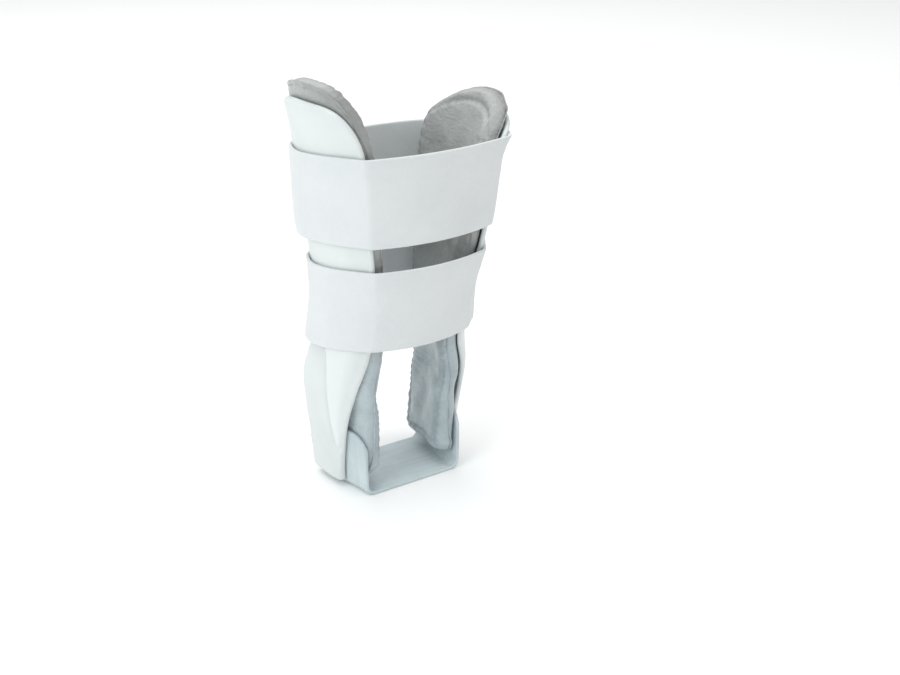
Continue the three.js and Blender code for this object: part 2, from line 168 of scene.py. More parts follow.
@dataclass(frozen=True)
class Brace:
    """The curved walls that every piece of the brace follows.

    The table gives the shell's section at heights from the floor up. The first column is a share
    of top; front, rear and the liner's edges are places along Y as shares of depth; out is a
    share of half_width; the turns are shares of edge_turn.
    """

    top: float = 233.0
    foot: float = 3.0
    wall: float = 2.4
    depth: float = 70.0
    half_width: float = 54.0
    edge_turn: float = 12.0
    turn_power: float = 2.2
    turn_ease: float = 1.2
    flare: float = 6.0
    flare_depth: float = 36.0
    medial_drop: float = 18.0
    medial_squareness: float = 2.2
    medial_flare: float = 10.0
    medial_flare_depth: float = 30.0
    liner_rise: float = 8.0
    clearance: float = 0.5
    columns: tuple[str, ...] = (
        "height", "front", "rear", "out", "turn_front", "turn_rear", "liner_front", "liner_rear")
    sections: tuple[Values, ...] = (
        (0.00, -0.070, 0.360, 0.690, 0.10, 0.05, -0.300, 0.340),
        (0.08, -0.110, 0.360, 0.735, 0.18, 0.12, -0.320, 0.350),
        (0.19, -0.200, 0.380, 0.810, 0.42, 0.24, -0.360, 0.380),
        (0.28, -0.290, 0.390, 0.840, 0.75, 0.32, -0.385, 0.400),
        (0.37, -0.355, 0.345, 0.790, 1.00, 0.46, -0.410, 0.360),
        (0.50, -0.460, 0.310, 0.810, 1.10, 0.58, -0.490, 0.330),
        (0.62, -0.550, 0.305, 0.860, 0.95, 0.62, -0.575, 0.330),
        (0.70, -0.580, 0.335, 0.890, 0.82, 0.55, -0.605, 0.355),
        (0.80, -0.605, 0.355, 0.935, 0.84, 0.60, -0.630, 0.370),
        (0.90, -0.625, 0.355, 0.985, 0.84, 0.65, -0.640, 0.370),
        (1.04, -0.650, 0.335, 1.010, 0.60, 0.70, -0.650, 0.355),
    )

    def column(self, name: str, z: Grid) -> Grid:
        """A column of the table at heights z, by a cubic through its rows.

        Between two rows the value is the cubic Hermite curve whose slope at each row is the slope
        between that row's neighbours.
        """
        table = np.array(self.sections)
        heights = table[:, 0]
        values = table[:, self.columns.index(name)]
        below = np.maximum(np.arange(len(heights)) - 1, 0)
        above = np.minimum(np.arange(len(heights)) + 1, len(heights) - 1)
        slopes = (values[above] - values[below]) / (heights[above] - heights[below])
        at = np.clip(np.asarray(z, float) / self.top, heights[0], heights[-1])
        row = np.clip(np.searchsorted(heights, at, side="right") - 1, 0, len(heights) - 2)
        span = heights[row + 1] - heights[row]
        t = (at - heights[row]) / span
        return (
            (2 * t**3 - 3 * t**2 + 1) * values[row]
            + (t**3 - 2 * t**2 + t) * span * slopes[row]
            + (3 * t**2 - 2 * t**3) * values[row + 1]
            + (t**3 - t**2) * span * slopes[row + 1])

    def span(self, z: Grid) -> tuple[Grid, Grid]:
        """Middle and half length, along Y, of the shell's section at heights z."""
        front = self.column("front", z) * self.depth
        rear = self.column("rear", z) * self.depth
        return (front + rear) / 2, (rear - front) / 2

    def across(self, y: Grid, z: Grid) -> Grid:
        """Places u across the section, from -1 at its rear edge to 1 at its front edge."""
        middle, half = self.span(z)
        return (middle - y) / half

    def mid_wall(self, u: Grid, z: Grid) -> Grid:
        """Points in the middle of the lateral wall.

        u runs from -1 at the rear edge to 1 at the front edge. y is the middle of the section less
        u half lengths. x turns in from the widest place by the edge's turn times |u| to a power,
        and past the edges by a curve that eases off to a straight line.
        """
        u, z = np.broadcast_arrays(np.asarray(u, float), np.asarray(z, float))
        middle, half = self.span(z)
        reach = np.abs(u)
        beyond = (1.0 - np.exp(-self.turn_ease * (reach - 1.0))) / self.turn_ease
        turn = np.where(reach <= 1.0, reach**self.turn_power, 1.0 + self.turn_power * beyond)
        edge = np.where(u > 0, self.column("turn_front", z), self.column("turn_rear", z))
        flare = self.flare * np.maximum(0.0, 1.0 + (z - self.top) / self.flare_depth) ** 2
        out = self.column("out", z) * self.half_width + flare
        return np.stack([self.edge_turn * edge * turn - out, middle - half * u, z], axis=-1)

    def normal(self, u: Grid, z: Grid) -> Grid:
        """Outward unit normals of the lateral wall: its slope across crossed with its slope up."""
        step = 0.01
        across = self.mid_wall(u + step, z) - self.mid_wall(u - step, z)
        up = self.mid_wall(u, z + self.top * step) - self.mid_wall(u, z - self.top * step)
        return unit(np.cross(across, up))

    def off_wall(self, u: Grid, z: Grid, distance: Grid) -> Grid:
        """Points off the lateral wall by a distance along its normal."""
        distance = np.asarray(distance, float)
        return self.mid_wall(u, z) + self.normal(u, z) * distance[..., None]

    def top_form(self, side: Side, squareness: float) -> tuple[float, float]:
        """How much lower a side's top is, and how square: the medial one is lower and rounder."""
        if side is Side.MEDIAL:
            return self.medial_drop, self.medial_squareness
        return 0.0, squareness

    def on_side(self, points: Grid, side: Side) -> Grid:
        """Lateral points as they are, or mirrored for the medial side."""
        return points * MIRROR if side is Side.MEDIAL else points

    def widening(self, z: Grid) -> Grid:
        """How many times wider the medial side is: more than 1 by a smooth rise to its top."""
        end = self.top - self.medial_drop + self.liner_rise
        rise = smooth_rise(end - self.medial_flare_depth, end, z)
        return 1.0 + self.medial_flare / self.half_width * rise

    def opened(self, points: Grid) -> Grid:
        """Points with the medial side, where x is positive, opened outwards near its top."""
        x, z = points[..., 0], points[..., 2]
        x = np.where(x > 0, x * self.widening(z), x)
        return np.concatenate([x[..., None], points[..., 1:]], axis=-1)

    def placed(self, points: Grid, side: Side) -> Grid:
        """Lateral points put on a side, and opened there if it is the medial one."""
        return self.opened(self.on_side(points, side))

    def unopened(self, points: Grid, side: Side) -> Grid:
        """Points of a side brought back to the lateral form: closed at the top and mirrored."""
        if side is Side.LATERAL:
            return points
        closed = points.copy()
        closed[..., 0] /= -self.widening(points[..., 2])
        return closed


BRACE = Brace()


@dataclass(frozen=True)
class Outline:
    """A shell's or a liner's outline: small corners below and a top that falls in a round."""

    foot: float
    corner: float
    top: float
    front_drop: float
    rear_drop: float
    squareness: float

    def height(self, u: Grid, v: Grid) -> Grid:
        """Heights v of the way up at places u across.

        The lower end rises by corner * (1 - sqrt(1 - |u|^6)). The upper end falls by
        front_drop * (1 - sqrt(1 - |u|^squareness)) ahead and by rear_drop * |u|^2.5 behind.
        """
        reach = np.minimum(1.0, np.abs(u))
        low = self.foot + self.corner * (1.0 - np.sqrt(1.0 - reach**6))
        front = self.front_drop * (1.0 - np.sqrt(1.0 - reach**self.squareness))
        rear = self.rear_drop * reach**2.5
        return mix(low, self.top - np.where(u > 0, front, rear), v)


def quads_of(index: Grid) -> Grid:
    """The four corners of every cell of a grid of vertex numbers."""
    a, b = index[:-1, :-1], index[:-1, 1:]
    c, d = index[1:, 1:], index[1:, :-1]
    return np.stack([a, b, c, d], axis=-1).reshape(-1, 4)


def ovals(centre: Grid, across: Grid, through: Grid, half: Grid, thick: Grid, count: int) -> Grid:
    """Rings of points round centres: centre + across * half cos a + through * thick sin a.

    Args:
        centre: The rings' centres.
        across: Their directions across.
        through: Their directions through.
        half: Half their size across.
        thick: Half their size through.
        count: Points in a ring.

    Returns:
        The rings' points, with one more axis than the centres have.
    """
    angle = np.linspace(0.0, 2.0 * math.pi, count, endpoint=False)
    return (
        centre[..., None, :]
        + across[..., None, :] * (half * np.cos(angle))[..., None]
        + through[..., None, :] * (thick * np.sin(angle))[..., None])


def volume_of(points: Grid, quads: Grid) -> float:
    """Volume inside closed quads: a sixth of the sum of a . (b x c) over their triangles."""
    p = points[quads]
    first = np.einsum("ij,ij->i", p[:, 0], np.cross(p[:, 1], p[:, 2]))
    second = np.einsum("ij,ij->i", p[:, 0], np.cross(p[:, 2], p[:, 3]))
    return float((first + second).sum() / 6.0)


def object_from(name: str, points: Grid, quads: Grid, places: Grid | None = None) -> Piece:
    """A shaded-smooth object from whole arrays.

    Args:
        name: The piece's name.
        points: Vertices in millimetres.
        quads: Vertex numbers of closed faces; turned over if they point inwards.
        places: Each vertex's place on the cloth, in metres, for the UV map.

    Returns:
        The object, at the origin, unturned and unscaled.
    """
    if volume_of(points, quads) < 0:
        quads = quads[:, ::-1]
    mesh = bpy.data.meshes.new(name)
    mesh.vertices.add(len(points))
    mesh.vertices.foreach_set("co", (points * METRE).astype(np.float32).ravel())
    mesh.loops.add(quads.size)
    mesh.loops.foreach_set("vertex_index", quads.astype(np.int32).ravel())
    mesh.polygons.add(len(quads))
    mesh.polygons.foreach_set("loop_start", np.arange(0, quads.size, 4, dtype=np.int32))
    mesh.polygons.foreach_set("use_smooth", np.ones(len(quads), dtype=bool))
    mesh.update(calc_edges=True)
    if places is not None:
        layer = mesh.uv_layers.new(name=CLOTH_MAP)
        layer.uv.foreach_set("vector", places[quads.ravel()].astype(np.float32).ravel())
    mesh.validate()
    piece = bpy.data.objects.new(name, mesh)
    bpy.context.scene.collection.objects.link(piece)
    return piece


def slab(name: str, outer: Grid, inner: Grid, places: Grid | None = None) -> Piece:
    """A closed piece between two grids that meet along their borders.

    The outer grid's border serves both faces, so the seam is closed.

    Args:
        name: The piece's name.
        outer: Points of one face, rows by columns by 3.
        inner: Points of the other face; its border isn't used.
        places: Rows by columns by 2 places on the cloth, in metres.

    Returns:
        The object.
    """
    rows, columns = outer.shape[:2]
    front = np.arange(rows * columns).reshape(rows, columns)
    back = front.copy()
    back[1:-1, 1:-1] = rows * columns + np.arange((rows - 2) * (columns - 2)).reshape(rows - 2, -1)
    points = np.concatenate([outer.reshape(-1, 3), inner[1:-1, 1:-1].reshape(-1, 3)])
    if places is not None:
        places = np.concatenate([places.reshape(-1, 2), places[1:-1, 1:-1].reshape(-1, 2)])
    quads = np.concatenate([quads_of(front), quads_of(back)[:, ::-1]])
    return object_from(name, points, quads, places)


def settle(piece: Piece) -> None:
    """Keeps a piece's shape as its modifiers give it, and takes them off."""
    graph = bpy.context.evaluated_depsgraph_get()
    mesh = bpy.data.meshes.new_from_object(piece.evaluated_get(graph))
    old = piece.data
    piece.modifiers.clear()
    piece.data = mesh
    bpy.data.meshes.remove(old)


def points_of(piece: Piece) -> Grid:
    """A piece's vertices in millimetres."""
    flat = np.empty(len(piece.data.vertices) * 3)
    piece.data.vertices.foreach_get("co", flat)
    return flat.reshape(-1, 3) / METRE


def move_points(piece: Piece, points: Grid) -> None:
    """Puts a piece's vertices at points given in millimetres."""
    piece.data.vertices.foreach_set("co", (points * METRE).ravel())
    piece.data.update()


class Links:
    """Adds nodes to a material and joins them."""

    def __init__(self, name: str) -> None:
        """Starts an empty node tree with a Principled shader."""
        self.material = bpy.data.materials.new(name)
        self.material.use_nodes = True
        self.tree = self.material.node_tree
        self.shader = self.tree.nodes["Principled BSDF"]

    def fill(self, node: bpy.types.Node, values: Inputs) -> None:
        """Joins each socket among the values to its input, and keeps any other value in its own."""
        for key, value in values.items():
            if isinstance(value, Socket):
                self.tree.links.new(value, node.inputs[key])
            else:
                node.inputs[key].default_value = value

    def node(self, kind: str, output: str | int, values: Inputs, **settings: object) -> Socket:
        """An output of a new node of a kind, with its settings and its inputs filled."""
        node = self.tree.nodes.new(kind)
        for key, value in settings.items():
            setattr(node, key, value)
        self.fill(node, values)
        return node.outputs[output]

    def place(self, uv: bool, scale: tuple[float, float, float] = (1, 1, 1)) -> Socket:
        """Object coordinates, or the cloth's own UV map, in metres times a scale."""
        if uv:
            source = self.node("ShaderNodeUVMap", "UV", {}, uv_map=CLOTH_MAP)
        else:
            source = self.node("ShaderNodeTexCoord", "Object", {})
        return self.node("ShaderNodeMapping", "Vector", {"Vector": source, "Scale": scale})

    def noise(self, place: Socket, scale: float, detail: float = 3.0, roughness: float = 0.55,
              distortion: float = 0.0) -> Socket:
        """Noise with a scale in waves a metre."""
        return self.node("ShaderNodeTexNoise", "Fac", {
            "Vector": place, "Scale": scale, "Detail": detail, "Roughness": roughness,
            "Distortion": distortion})

    def wave(self, place: Socket, scale: float, direction: str, distortion: float = 0.0) -> Socket:
        """Sine bands across a direction."""
        return self.node("ShaderNodeTexWave", "Fac", {
            "Vector": place, "Scale": scale, "Distortion": distortion, "Detail": 1.0,
            "Detail Scale": 2.0}, wave_type="BANDS", bands_direction=direction, wave_profile="SIN")

    def height(self, place: Socket) -> Socket:
        """The height of a place, in metres."""
        return self.node("ShaderNodeSeparateXYZ", "Z", {"Vector": place})

    def attribute(self, name: str) -> Socket:
        """A value that the mesh keeps at its points."""
        return self.node("ShaderNodeAttribute", "Fac", {}, attribute_name=name)

    def sum(self, a: Socket, b: Socket, share: float) -> Socket:
        """a plus b times a share."""
        return self.node("ShaderNodeMath", 0, {0: b, 1: share, 2: a}, operation="MULTIPLY_ADD")

    def spread(self, source: Socket, low: float, high: float, start: float = 0.0,
               end: float = 1.0) -> Socket:
        """A factor's range from low to high as a range from start to end."""
        return self.node("ShaderNodeMapRange", "Result", {
            "Value": source, "From Min": low, "From Max": high, "To Min": start, "To Max": end})

    def blend(self, factor: Socket, first: Tone, second: Tone) -> Socket:
        """A colour between two, by a factor. Each is a fixed colour or another node's colour."""
        tones = [(*tone, 1.0) if isinstance(tone, tuple) else tone for tone in (first, second)]
        values = {0: factor, MIX_COLOURS[0]: tones[0], MIX_COLOURS[1]: tones[1]}
        return self.node("ShaderNodeMix", MIX_RESULT, values, data_type="RGBA")

    def bump(self, height: Socket, distance: float, strength: float = 1.0,
             under: Socket | None = None) -> Socket:
        """A bump of a depth in metres, on another bump if one is given."""
        values = {"Height": height, "Distance": distance, "Strength": strength}
        if under is not None:
            values["Normal"] = under
        return self.node("ShaderNodeBump", "Normal", values)

    def finish(self, colour: Socket, rough: Socket, normal: Socket, **fixed: object) -> Material:
        """Joins the shader's colour, roughness and normal and sets its fixed sockets."""
        self.fill(self.shader, {"Base Color": colour, "Roughness": rough, "Normal": normal})
        self.fill(self.shader, {key.replace("_", " "): value for key, value in fixed.items()})
        return self.material


@dataclass(frozen=True)
class ShellPlastic:
    """Satin white moulded plastic: faint flow clouds, a fine eggshell grain, and a panel painted
    lighter as a highlight.
    """

    name: str = "white_shell_plastic"
    dark: Values = (0.615, 0.652, 0.652)
    light: Values = (0.685, 0.722, 0.722)
    # panel is a painted highlight colour: the raised panel is the same plastic, painted lighter as
    # if lit more brightly.
    panel: Values = (0.79, 0.82, 0.82)
    panel_highlight: float = 0.5
    cloud: float = 28.0
    grain: float = 900.0

    def build(self) -> Material:
        """The material."""
        links = Links(self.name)
        place = links.place(uv=False)
        clouds = links.noise(place, self.cloud, detail=4.0)
        wall = links.blend(links.spread(clouds, 0.3, 0.7), self.dark, self.light)
        # Painted highlight: the panel's share lightens the plastic towards the panel colour.
        raised = links.spread(links.attribute(PANEL_SHARE), 0.0, 1.0, 0.0, self.panel_highlight)
        colour = links.blend(raised, wall, self.panel)
        rough = links.spread(links.noise(place, 4 * self.cloud), 0.3, 0.7, 0.34, 0.46)
        soft = links.bump(clouds, distance=0.0006, strength=0.35)
        grain = links.noise(place, self.grain, detail=2.0)
        normal = links.bump(grain, distance=0.00004, strength=0.6, under=soft)
        return links.finish(colour, rough, normal, Subsurface_Weight=0.06, Subsurface_Scale=0.002,
                            Subsurface_Radius=(1.0, 1.0, 1.0), Coat_Weight=0.08)


@dataclass(frozen=True)
class LinerFilm:
    """Satin film over foam: neutral grey above, paler and bluer below, finely puckered."""

    name: str = "grey_liner_film"
    upper: Values = (0.355, 0.37, 0.36)
    lower: Values = (0.44, 0.515, 0.545)
    shade: float = 0.8
    change: tuple[float, float] = (0.135, 0.075)
    mottle: float = 45.0
    fold: float = 95.0
    pucker: float = 260.0

    def build(self) -> Material:
        """The material."""
        links = Links(self.name)
        place = links.place(uv=False)
        flat = links.place(uv=False, scale=(1.0, 1.0, 1.9))
        mottle = links.noise(place, self.mottle, detail=4.0, roughness=0.6)
        share = links.spread(mottle, 0.35, 0.65)
        above = links.blend(share, tuple(self.shade * c for c in self.upper), self.upper)
        below = links.blend(share, tuple(self.shade * c for c in self.lower), self.lower)
        colour = links.blend(links.spread(links.height(place), *self.change), above, below)
        rough = links.spread(mottle, 0.3, 0.7, 0.3, 0.42)
        folds = links.noise(flat, self.fold, detail=2.0, roughness=0.5, distortion=1.2)
        puckers = links.noise(flat, self.pucker, roughness=0.6, distortion=0.9)
        soft = links.bump(folds, distance=0.0018, strength=0.5)
        normal = links.bump(puckers, distance=0.0007, strength=0.6, under=soft)
        return links.finish(colour, rough, normal, Coat_Weight=0.3, Coat_Roughness=0.26)


@dataclass(frozen=True)
class LoopCloth:
    """Brushed white loop cloth of a hook-and-loop strap: a soft nap over a fine knit."""

    name: str = "white_loop_cloth"
    dark: Values = (0.635, 0.665, 0.675)
    light: Values = (0.71, 0.735, 0.745)
    nap: float = 1500.0
    knit: float = 260.0
    tuft: float = 220.0
    wave: float = 24.0

    def build(self) -> Material:
        """The material."""
        links = Links(self.name)
        place = links.place(uv=True)
        nap = links.noise(place, self.nap, roughness=0.7)
        knit = links.wave(place, self.knit, "X", distortion=1.5)
        tufts = links.noise(place, self.tuft, detail=4.0, roughness=0.6)
        broad = links.noise(place, self.wave)
        tone = links.sum(links.sum(broad, tufts, 0.35), nap, 0.25)
        colour = links.blend(links.spread(tone, 0.5, 1.1), self.dark, self.light)
        rough = links.spread(tufts, 0.3, 0.7, 0.86, 0.96)
        waves = links.bump(broad, distance=0.0012, strength=0.3)
        weave = links.sum(nap, knit, 0.25)
        cloth = links.bump(weave, distance=0.00028, strength=0.7, under=waves)
        normal = links.bump(tufts, distance=0.0004, strength=0.35, under=cloth)
        return links.finish(colour, rough, normal, Sheen_Weight=0.25, Sheen_Roughness=0.5)


@dataclass(frozen=True)
class HeelWebbing:
    """Pale blue-grey webbing: soft lengthwise ribs crossed by fine picks, with painted shade
    darkening it up inside the shells.
    """

    name: str = "pale_heel_webbing"
    dark: Values = (0.48, 0.565, 0.585)
    light: Values = (0.64, 0.715, 0.735)
    # inside is a painted shade colour: the strap darkens where it rises into the shell under the
    # liner.
    inside: Values = (0.45, 0.53, 0.56)
    fade: tuple[float, float] = (0.012, 0.04)
    painted_shade: float = 0.85
    ribs: float = 175.0
    picks: float = 420.0
    streak: float = 240.0
    wear: float = 60.0

    def build(self) -> Material:
        """The material."""
        links = Links(self.name)
        place = links.place(uv=True)
        long = links.place(uv=True, scale=(0.04, 1.0, 1.0))
        ribs = links.wave(place, self.ribs, "Y", distortion=1.2)
        picks = links.wave(place, self.picks, "X", distortion=1.0)
        weave = links.sum(ribs, picks, 0.5)
        streaks = links.noise(long, self.streak, roughness=0.6)
        wear = links.noise(place, self.wear, detail=4.0, roughness=0.6)
        tone = links.sum(links.sum(streaks, wear, 0.8), weave, 0.12)
        woven = links.blend(links.spread(tone, 0.7, 1.3), self.dark, self.light)
        # Painted shade: the webbing darkens with height as the strap goes up under the liner.
        height = links.height(links.place(uv=False))
        colour = links.blend(links.spread(height, *self.fade, 0.0, self.painted_shade), woven, self.inside)
        rough = links.spread(wear, 0.3, 0.7, 0.8, 0.92)
        soft = links.bump(streaks, distance=0.0003, strength=0.5)
        normal = links.bump(weave, distance=0.00016, strength=0.6, under=soft)
        return links.finish(colour, rough, normal, Sheen_Weight=0.15)


@dataclass(frozen=True)
class Thread:
    """White polyester sewing thread, twisted."""

    name: str = "white_thread"
    dark: Values = (0.6, 0.63, 0.65)
    light: Values = (0.84, 0.86, 0.87)
    twist: float = 2200.0

    def build(self) -> Material:
        """The material."""
        links = Links(self.name)
        twist = links.noise(links.place(uv=False), self.twist, detail=2.0)
        colour = links.blend(twist, self.dark, self.light)
        rough = links.spread(twist, 0.3, 0.7, 0.5, 0.7)
        return links.finish(colour, rough, links.bump(twist, distance=0.00008, strength=0.6))


def dress(piece: Piece, material: Material, slot: str, *nodes: str) -> None:
    """Gives a piece its material, sets it on the body and stands it for its nodes."""
    piece.data.materials.append(material)
    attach(piece, BODY)
    if nodes:
        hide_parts(*nodes)
    LOG.info("%s: %d faces", piece.name, len(piece.data.polygons))


@dataclass(frozen=True)
class Panel:
    """The moulded panel on the lower part of a shell.

    The table gives its rear edge at heights, as places across the section; the heights are shares
    of the shell's top.
    """

    raised: float = 1.8
    slope: float = 3.5
    rear_slope: float = 1.6
    front_slope: float = 9.0
    front: float = 0.97
    groove: float = 0.4
    groove_half: float = 1.0
    fade: float = 0.7
    heights: Values = (
        0.115, 0.138, 0.167, 0.195, 0.223, 0.255, 0.29, 0.321, 0.349, 0.383, 0.5)
    rears: Values = (
        0.79, 0.65, 0.56, 0.485, 0.42, 0.355, 0.28, 0.185, 0.095, 0.01, -0.12)

    def height_at(self, z: Grid) -> Grid:
        """Height of the panel's flat top above the wall: it rises over its slope and fades out."""
        first = self.heights[0] * BRACE.top
        last = self.heights[-1] * BRACE.top
        start = smooth_rise(first, first + self.slope, z)
        return self.raised * start * (1.0 - smooth_rise(mix(first, last, self.fade), last, z))

    def relief(self, u: Grid, z: Grid) -> Grid:
        """Height above the wall at places on it.

        It is the flat top's times a smooth rise over each slope, less a groove behind the rear
        slope whose section is a bell.
        """
        _, half = BRACE.span(z)
        rear = np.interp(z / BRACE.top, self.heights, self.rears)
        room = (self.front - rear) / 2.0
        behind = smooth_rise(0.0, 1.0, (u - rear) / np.minimum(self.rear_slope / half, room))
        ahead = smooth_rise(0.0, 1.0, (self.front - u) / np.minimum(self.front_slope / half, room))
        groove = self.groove * bell((u - rear) * half, -self.groove_half, self.groove_half)
        return self.height_at(z) * (behind * ahead - groove)


@dataclass
class Shell:
    """A rigid side shell: a thin curved wall with a full round rim and a moulded panel."""

    side: Side
    plastic: Material
    panel: Panel = field(default_factory=Panel)
    top_front_drop: float = 28.0
    top_rear_drop: float = 8.0
    squareness: float = 5.0
    foot_corner: float = 3.0
    lip: float = 0.35
    lip_width: float = 2.4
    lip_middle: float = 1.44
    lip_half: float = 1.2
    step_height: float = 24.5
    step_half: float = 0.5
    step: float = 0.9
    breadth: float = 75.0
    length: float = 225.0
    across: int = 110
    up: int = 190

    def outline(self) -> Outline:
        """The shell's outline on its side."""
        drop, squareness = BRACE.top_form(self.side, self.squareness)
        return Outline(BRACE.foot, self.foot_corner, BRACE.top - drop,
                       self.top_front_drop - drop, self.top_rear_drop, squareness)

    def build(self) -> Piece:
        """The shell.

        Both faces are off the middle of the wall by half its thickness times a round edge of the
        distance to the rim. The outer face adds the panel, a low lip beside the rim and the step
        across the foot. Each outer point also keeps the panel's share, for the painted highlight on
        the panel.
        """
        outline = self.outline()
        rim = BRACE.wall / 2
        u = graded(self.across, rim / self.breadth)[None, :] * 2.0 - 1.0
        v = graded(self.up, rim / self.length)[:, None]
        z = outline.height(u, v)
        u = np.broadcast_to(u, z.shape)
        middle = BRACE.mid_wall(u, z)
        border = BRACE.mid_wall(u[0], outline.height(u[0], np.ones_like(u[0])))
        slope = np.abs(np.gradient(border[:, 2]) / (np.gradient(border[:, 1]) + 1e-9))
        foreshortening = 1.0 / np.sqrt(1.0 + slope**2)
        _, half = BRACE.span(z)
        beside = (1.0 - np.abs(u)) * half
        above = (border[None, :, 2] - z) * foreshortening[None, :]
        below = z - z[:1]
        edge = np.minimum(np.minimum(beside, above), below)
        lip = self.lip * bell(edge, self.lip_middle, self.lip_half)
        low, high = self.step_height - self.step_half, self.step_height + self.step_half
        step = self.step * (1.0 - smooth_rise(low, high, z))
        inside = smooth_rise(0.0, self.lip_width, edge)
        relief = (self.panel.relief(u, z) + step) * inside + lip
        round_edge = rounding(edge, rim)
        outward = BRACE.normal(u, z)
        outer = middle + outward * (rim * round_edge + relief * round_edge)[..., None]
        inner = middle - outward * (rim * round_edge)[..., None]
        outer = BRACE.placed(outer, self.side)
        inner = BRACE.placed(inner, self.side)
        piece = slab(f"{self.side.value}_side_shell", outer, inner)
        share = np.zeros(len(piece.data.vertices))
        # The panel's share drives the painted highlight that lightens the panel.
        share[:u.size] = np.clip(self.panel.relief(u, z) / self.panel.raised, 0.0, 1.0).ravel()
        panel_highlight = piece.data.attributes.new(PANEL_SHARE, "FLOAT", "POINT")
        panel_highlight.data.foreach_set("value", share)
        dress(piece, self.plastic, "shell", f"{self.side.value}_shell")
        return piece


@dataclass
class Liner:
    """A padded liner: foam under a film that is welded round it, puffed by a cloth simulation.

    The weld, pleats and crumples are in the free face, and fade in over the face's shares of the
    way from the back. The pleats wander by sines, each with a size, a length and a phase.
    """

    side: Side
    film: Material
    thickness: float = 12.0
    edge: float = 9.0
    end: float = 3.0
    border: float = 7.0
    front_drop: float = 42.0
    rear_drop: float = 14.0
    corner: float = 10.0
    squareness: float = 4.0
    length: float = 220.0
    half_breadth: float = 30.0
    end_round: float = 2.5
    side_round: float = 3.0
    end_share: float = 0.012
    side_share: float = 0.06
    face: tuple[float, float] = (0.25, 0.6)
    weld_in: float = 7.5
    weld_depth: float = 1.6
    weld_width: float = 1.3
    pleat: float = 0.45
    pleat_length: float = 4.6
    pleat_in: float = 6.375
    pleat_half: float = 4.0
    wander: tuple[Values, ...] = ((1.7, 9.0, 0.0), (0.8, 3.7, 1.0))
    crumple: float = 0.26
    crumple_length: tuple[float, float] = (11.0, 30.0)
    crumple_rise: float = 5.0
    fill: float = 0.75
    voxel: float = 2.6
    calm: int = 4
    held: float = 3.0
    quality: int = 5
    mass: float = 0.15
    pressure: float = 4.0
    frames: int = 20
    cap: float = 2.4
    across: int = 60
    up: int = 150

    def outline(self) -> Outline:
        """The liner's outline on its side."""
        drop, squareness = BRACE.top_form(self.side, self.squareness)
        foot = HEEL_THICKNESS + HEEL_BEND + BRACE.clearance
        return Outline(foot, self.corner, BRACE.top + BRACE.liner_rise - drop,
                       self.front_drop - drop, self.rear_drop, squareness)

    def back(self, z: Grid) -> Grid:
        """How far the back lies inside the middle of the wall: on the shell or the heel strap."""
        end = HEEL_RISE + self.thickness
        on_strap = 1.0 - smooth_rise(end, end + self.thickness, z)
        return BRACE.wall / 2 + BRACE.clearance + on_strap * (HEEL_THICKNESS + BRACE.clearance)

    def edges(self, z: Grid) -> tuple[Grid, Grid]:
        """Where the pad's front and rear edges lie along Y."""
        front = BRACE.column("liner_front", z) * BRACE.depth
        return front, BRACE.column("liner_rear", z) * BRACE.depth

    def surface(self, s: Grid, v: Grid, layer: Grid) -> Grid:
        """Points of the pad.

        s runs from -1 at the rear edge to 1 at the front edge, v from the foot to the top and
        layer from 0 on the back to 1 on the front. The thickness grows from each edge by a
        quarter round of the border's width.
        """
        outline = self.outline()
        z = outline.height(s, v)
        front, rear = self.edges(z)
        y = mix(rear, front, (s + 1.0) / 2.0)
        beside = (1.0 - np.abs(s)) * (rear - front) / 2.0
        end = np.minimum(v, 1.0 - v) * (outline.top - outline.foot)
        thick = mix(self.edge, self.thickness, rounding(beside, self.border))
        thick = mix(self.end, thick, rounding(end, self.border))
        return BRACE.off_wall(BRACE.across(y, z), z, -self.back(z) - layer * thick)

    def build(self) -> Piece:
        """The liner: the pad's two faces joined by a round edge, puffed, then welded."""
        s = graded(self.across, self.side_share)[None, :] * 2.0 - 1.0
        v = graded(self.up, self.end_share)[:, None]
        s, v = np.broadcast_arrays(s, v)
        front = self.surface(s, v, np.ones_like(s))
        back = self.surface(s, v, np.zeros_like(s))
        beside = rounding((1.0 - np.abs(s)) * self.half_breadth, self.side_round)
        ends = rounding(np.minimum(v, 1.0 - v) * self.length, self.end_round)
        rim = (beside * ends)[..., None]
        centre = (front + back) / 2.0
        outer = mix(centre, front, rim)
        inner = mix(centre, back, rim)
        outer = BRACE.placed(outer, self.side)
        inner = BRACE.placed(inner, self.side)
        piece = slab(f"{self.side.value}_padded_liner", outer, inner)
        self.puff(piece)
        piece.modifiers.new("fine", "SUBSURF").levels = 1
        settle(piece)
        self.weld(piece)
        piece.data.shade_smooth()
        dress(piece, self.film, "liner", f"{self.side.value}_liner")
        WeldedRim(self).build(points_of(piece))
        return piece

    def places(self, points: Grid) -> tuple[Grid, Grid, Grid]:
        """Where points of the pad lie on it.

        Args:
            points: Points of the brace.

        Returns:
            The distance in from the pad's nearest edge, the depth inside the middle of the shell's
            wall, and the distance round the edge that the point is nearest to.
        """
        lateral = BRACE.unopened(points, self.side)
        outline = self.outline()
        y, z = lateral[:, 1], lateral[:, 2]
        u = BRACE.across(y, z)
        normal = BRACE.normal(u, z)
        depth = -((lateral - BRACE.mid_wall(u, z)) * normal).sum(axis=-1)
        z = z + depth * normal[:, 2]
        front, rear = self.edges(z)
        s = np.clip((y - rear) / (front - rear) * 2.0 - 1.0, -1.0, 1.0)
        step = 0.01
        ahead, behind = np.clip(s + step, -1, 1), np.clip(s - step, -1, 1)
        rise = outline.height(ahead, 1.0) - outline.height(behind, 1.0)
        slope = rise / (step * (rear - front))
        above = (outline.height(s, 1.0) - z) / np.sqrt(1.0 + slope**2)
        below = z - outline.height(s, 0.0)
        beside = (1.0 - np.abs(s)) * np.abs(rear - front) / 2.0
        ends = np.minimum(above, below)
        return np.minimum(ends, beside), depth, np.where(ends < beside, y, z)

